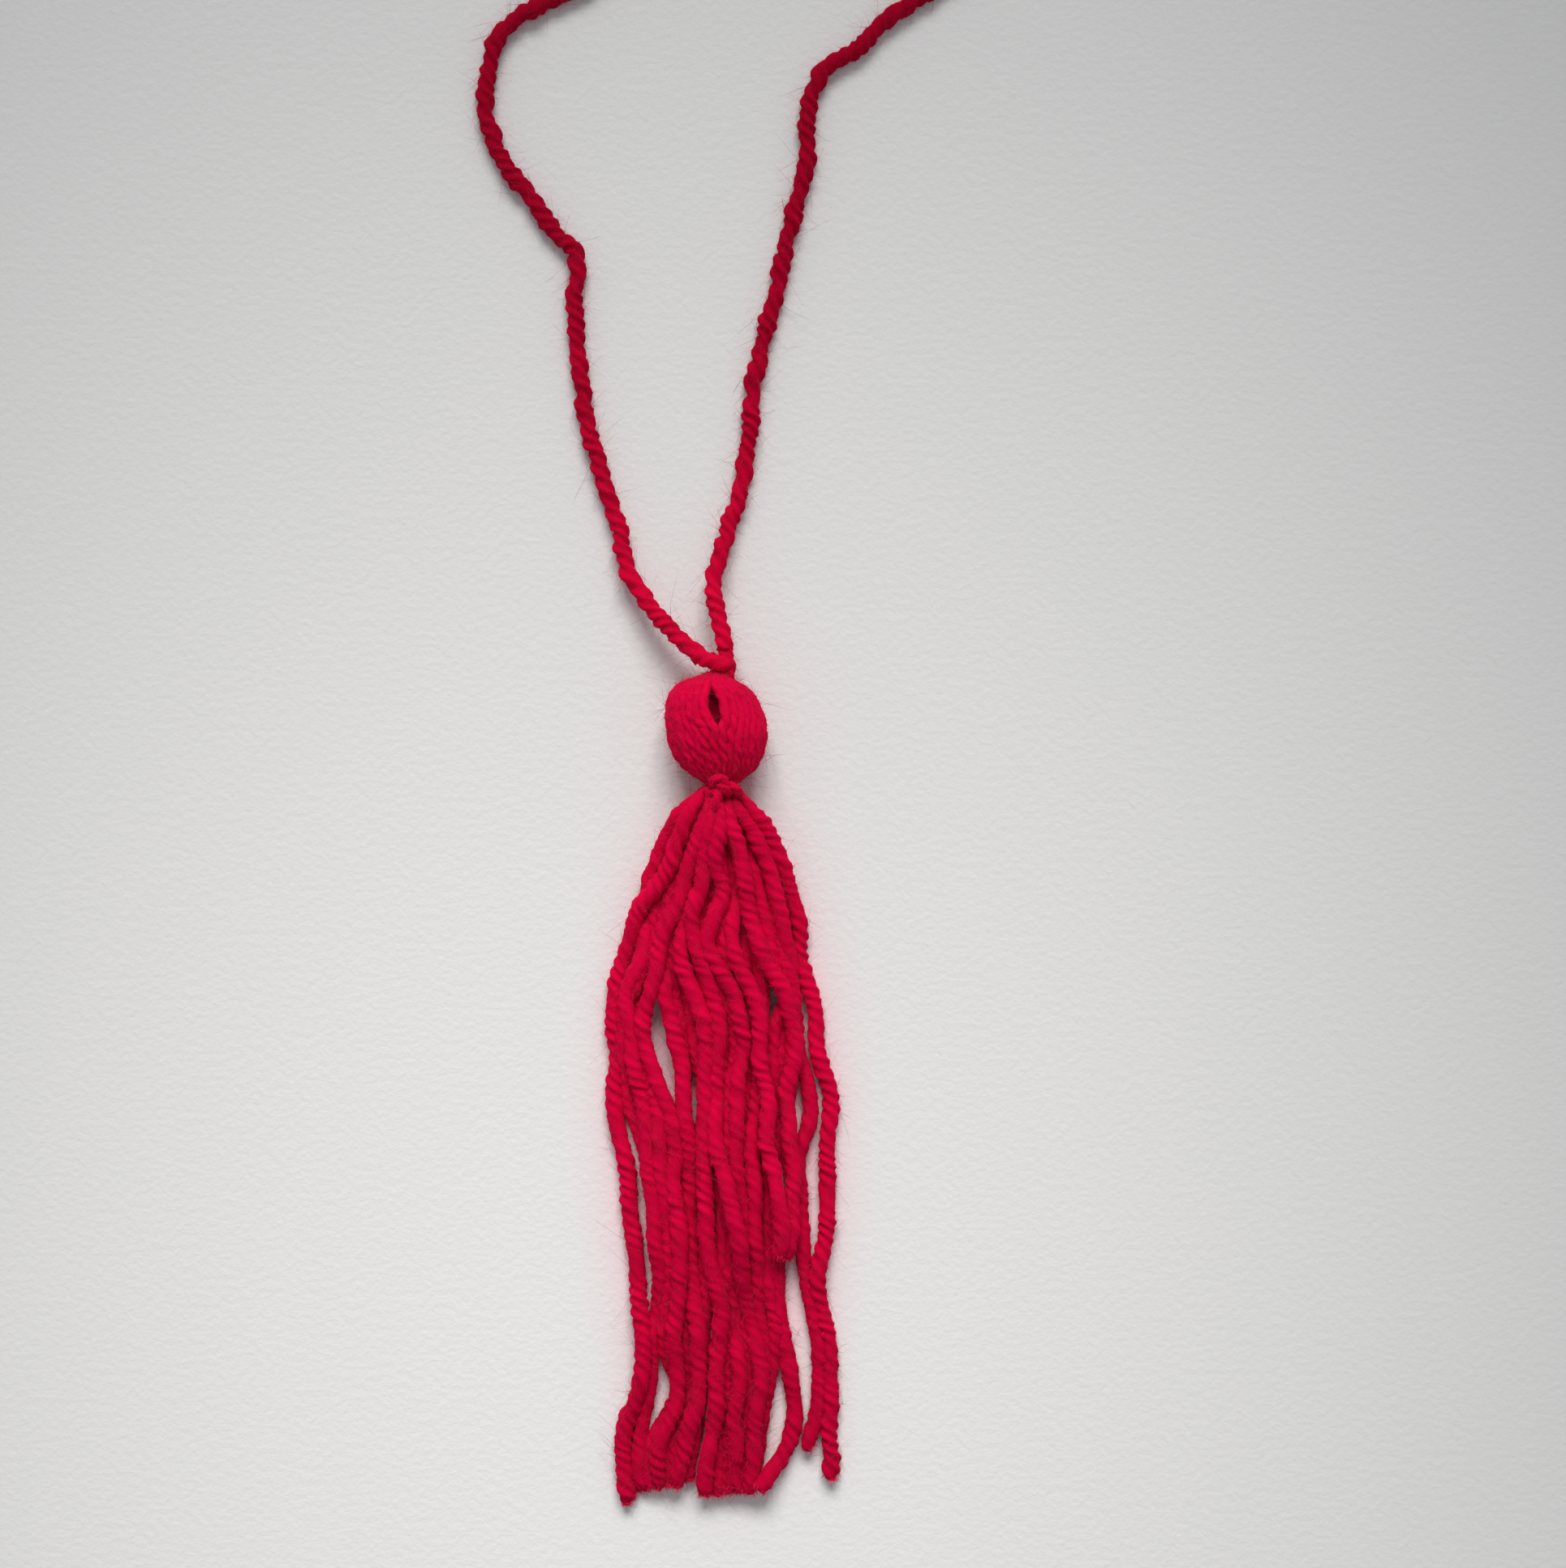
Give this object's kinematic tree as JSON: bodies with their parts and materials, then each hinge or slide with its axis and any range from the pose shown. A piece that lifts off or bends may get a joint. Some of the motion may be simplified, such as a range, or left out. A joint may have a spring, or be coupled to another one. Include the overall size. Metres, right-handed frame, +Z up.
{
  "type": "yarn tassel with a hanging cord",
  "caption": "Handmade red tassel of plied woollen yarn with a round tied head, a cut skirt and a knotted hanging loop, lying on its back.",
  "frame": {"origin": "middle of the footprint of the tassel and its neck tie, on the surface it lies on", "axes": "+Y along the tassel towards its head, +X to the right seen from above, +Z up"},
  "size_m": [0.0633, 0.2035, 0.0101],
  "materials": {
    "yarn": "matte",
    "cord": "matte"
  },
  "bodies": {
    "root": {"tassel": "yarn", "neck_tie": "yarn", "cord_knot": "cord", "hanging_cord": "cord"}
  },
  "joints": []
}
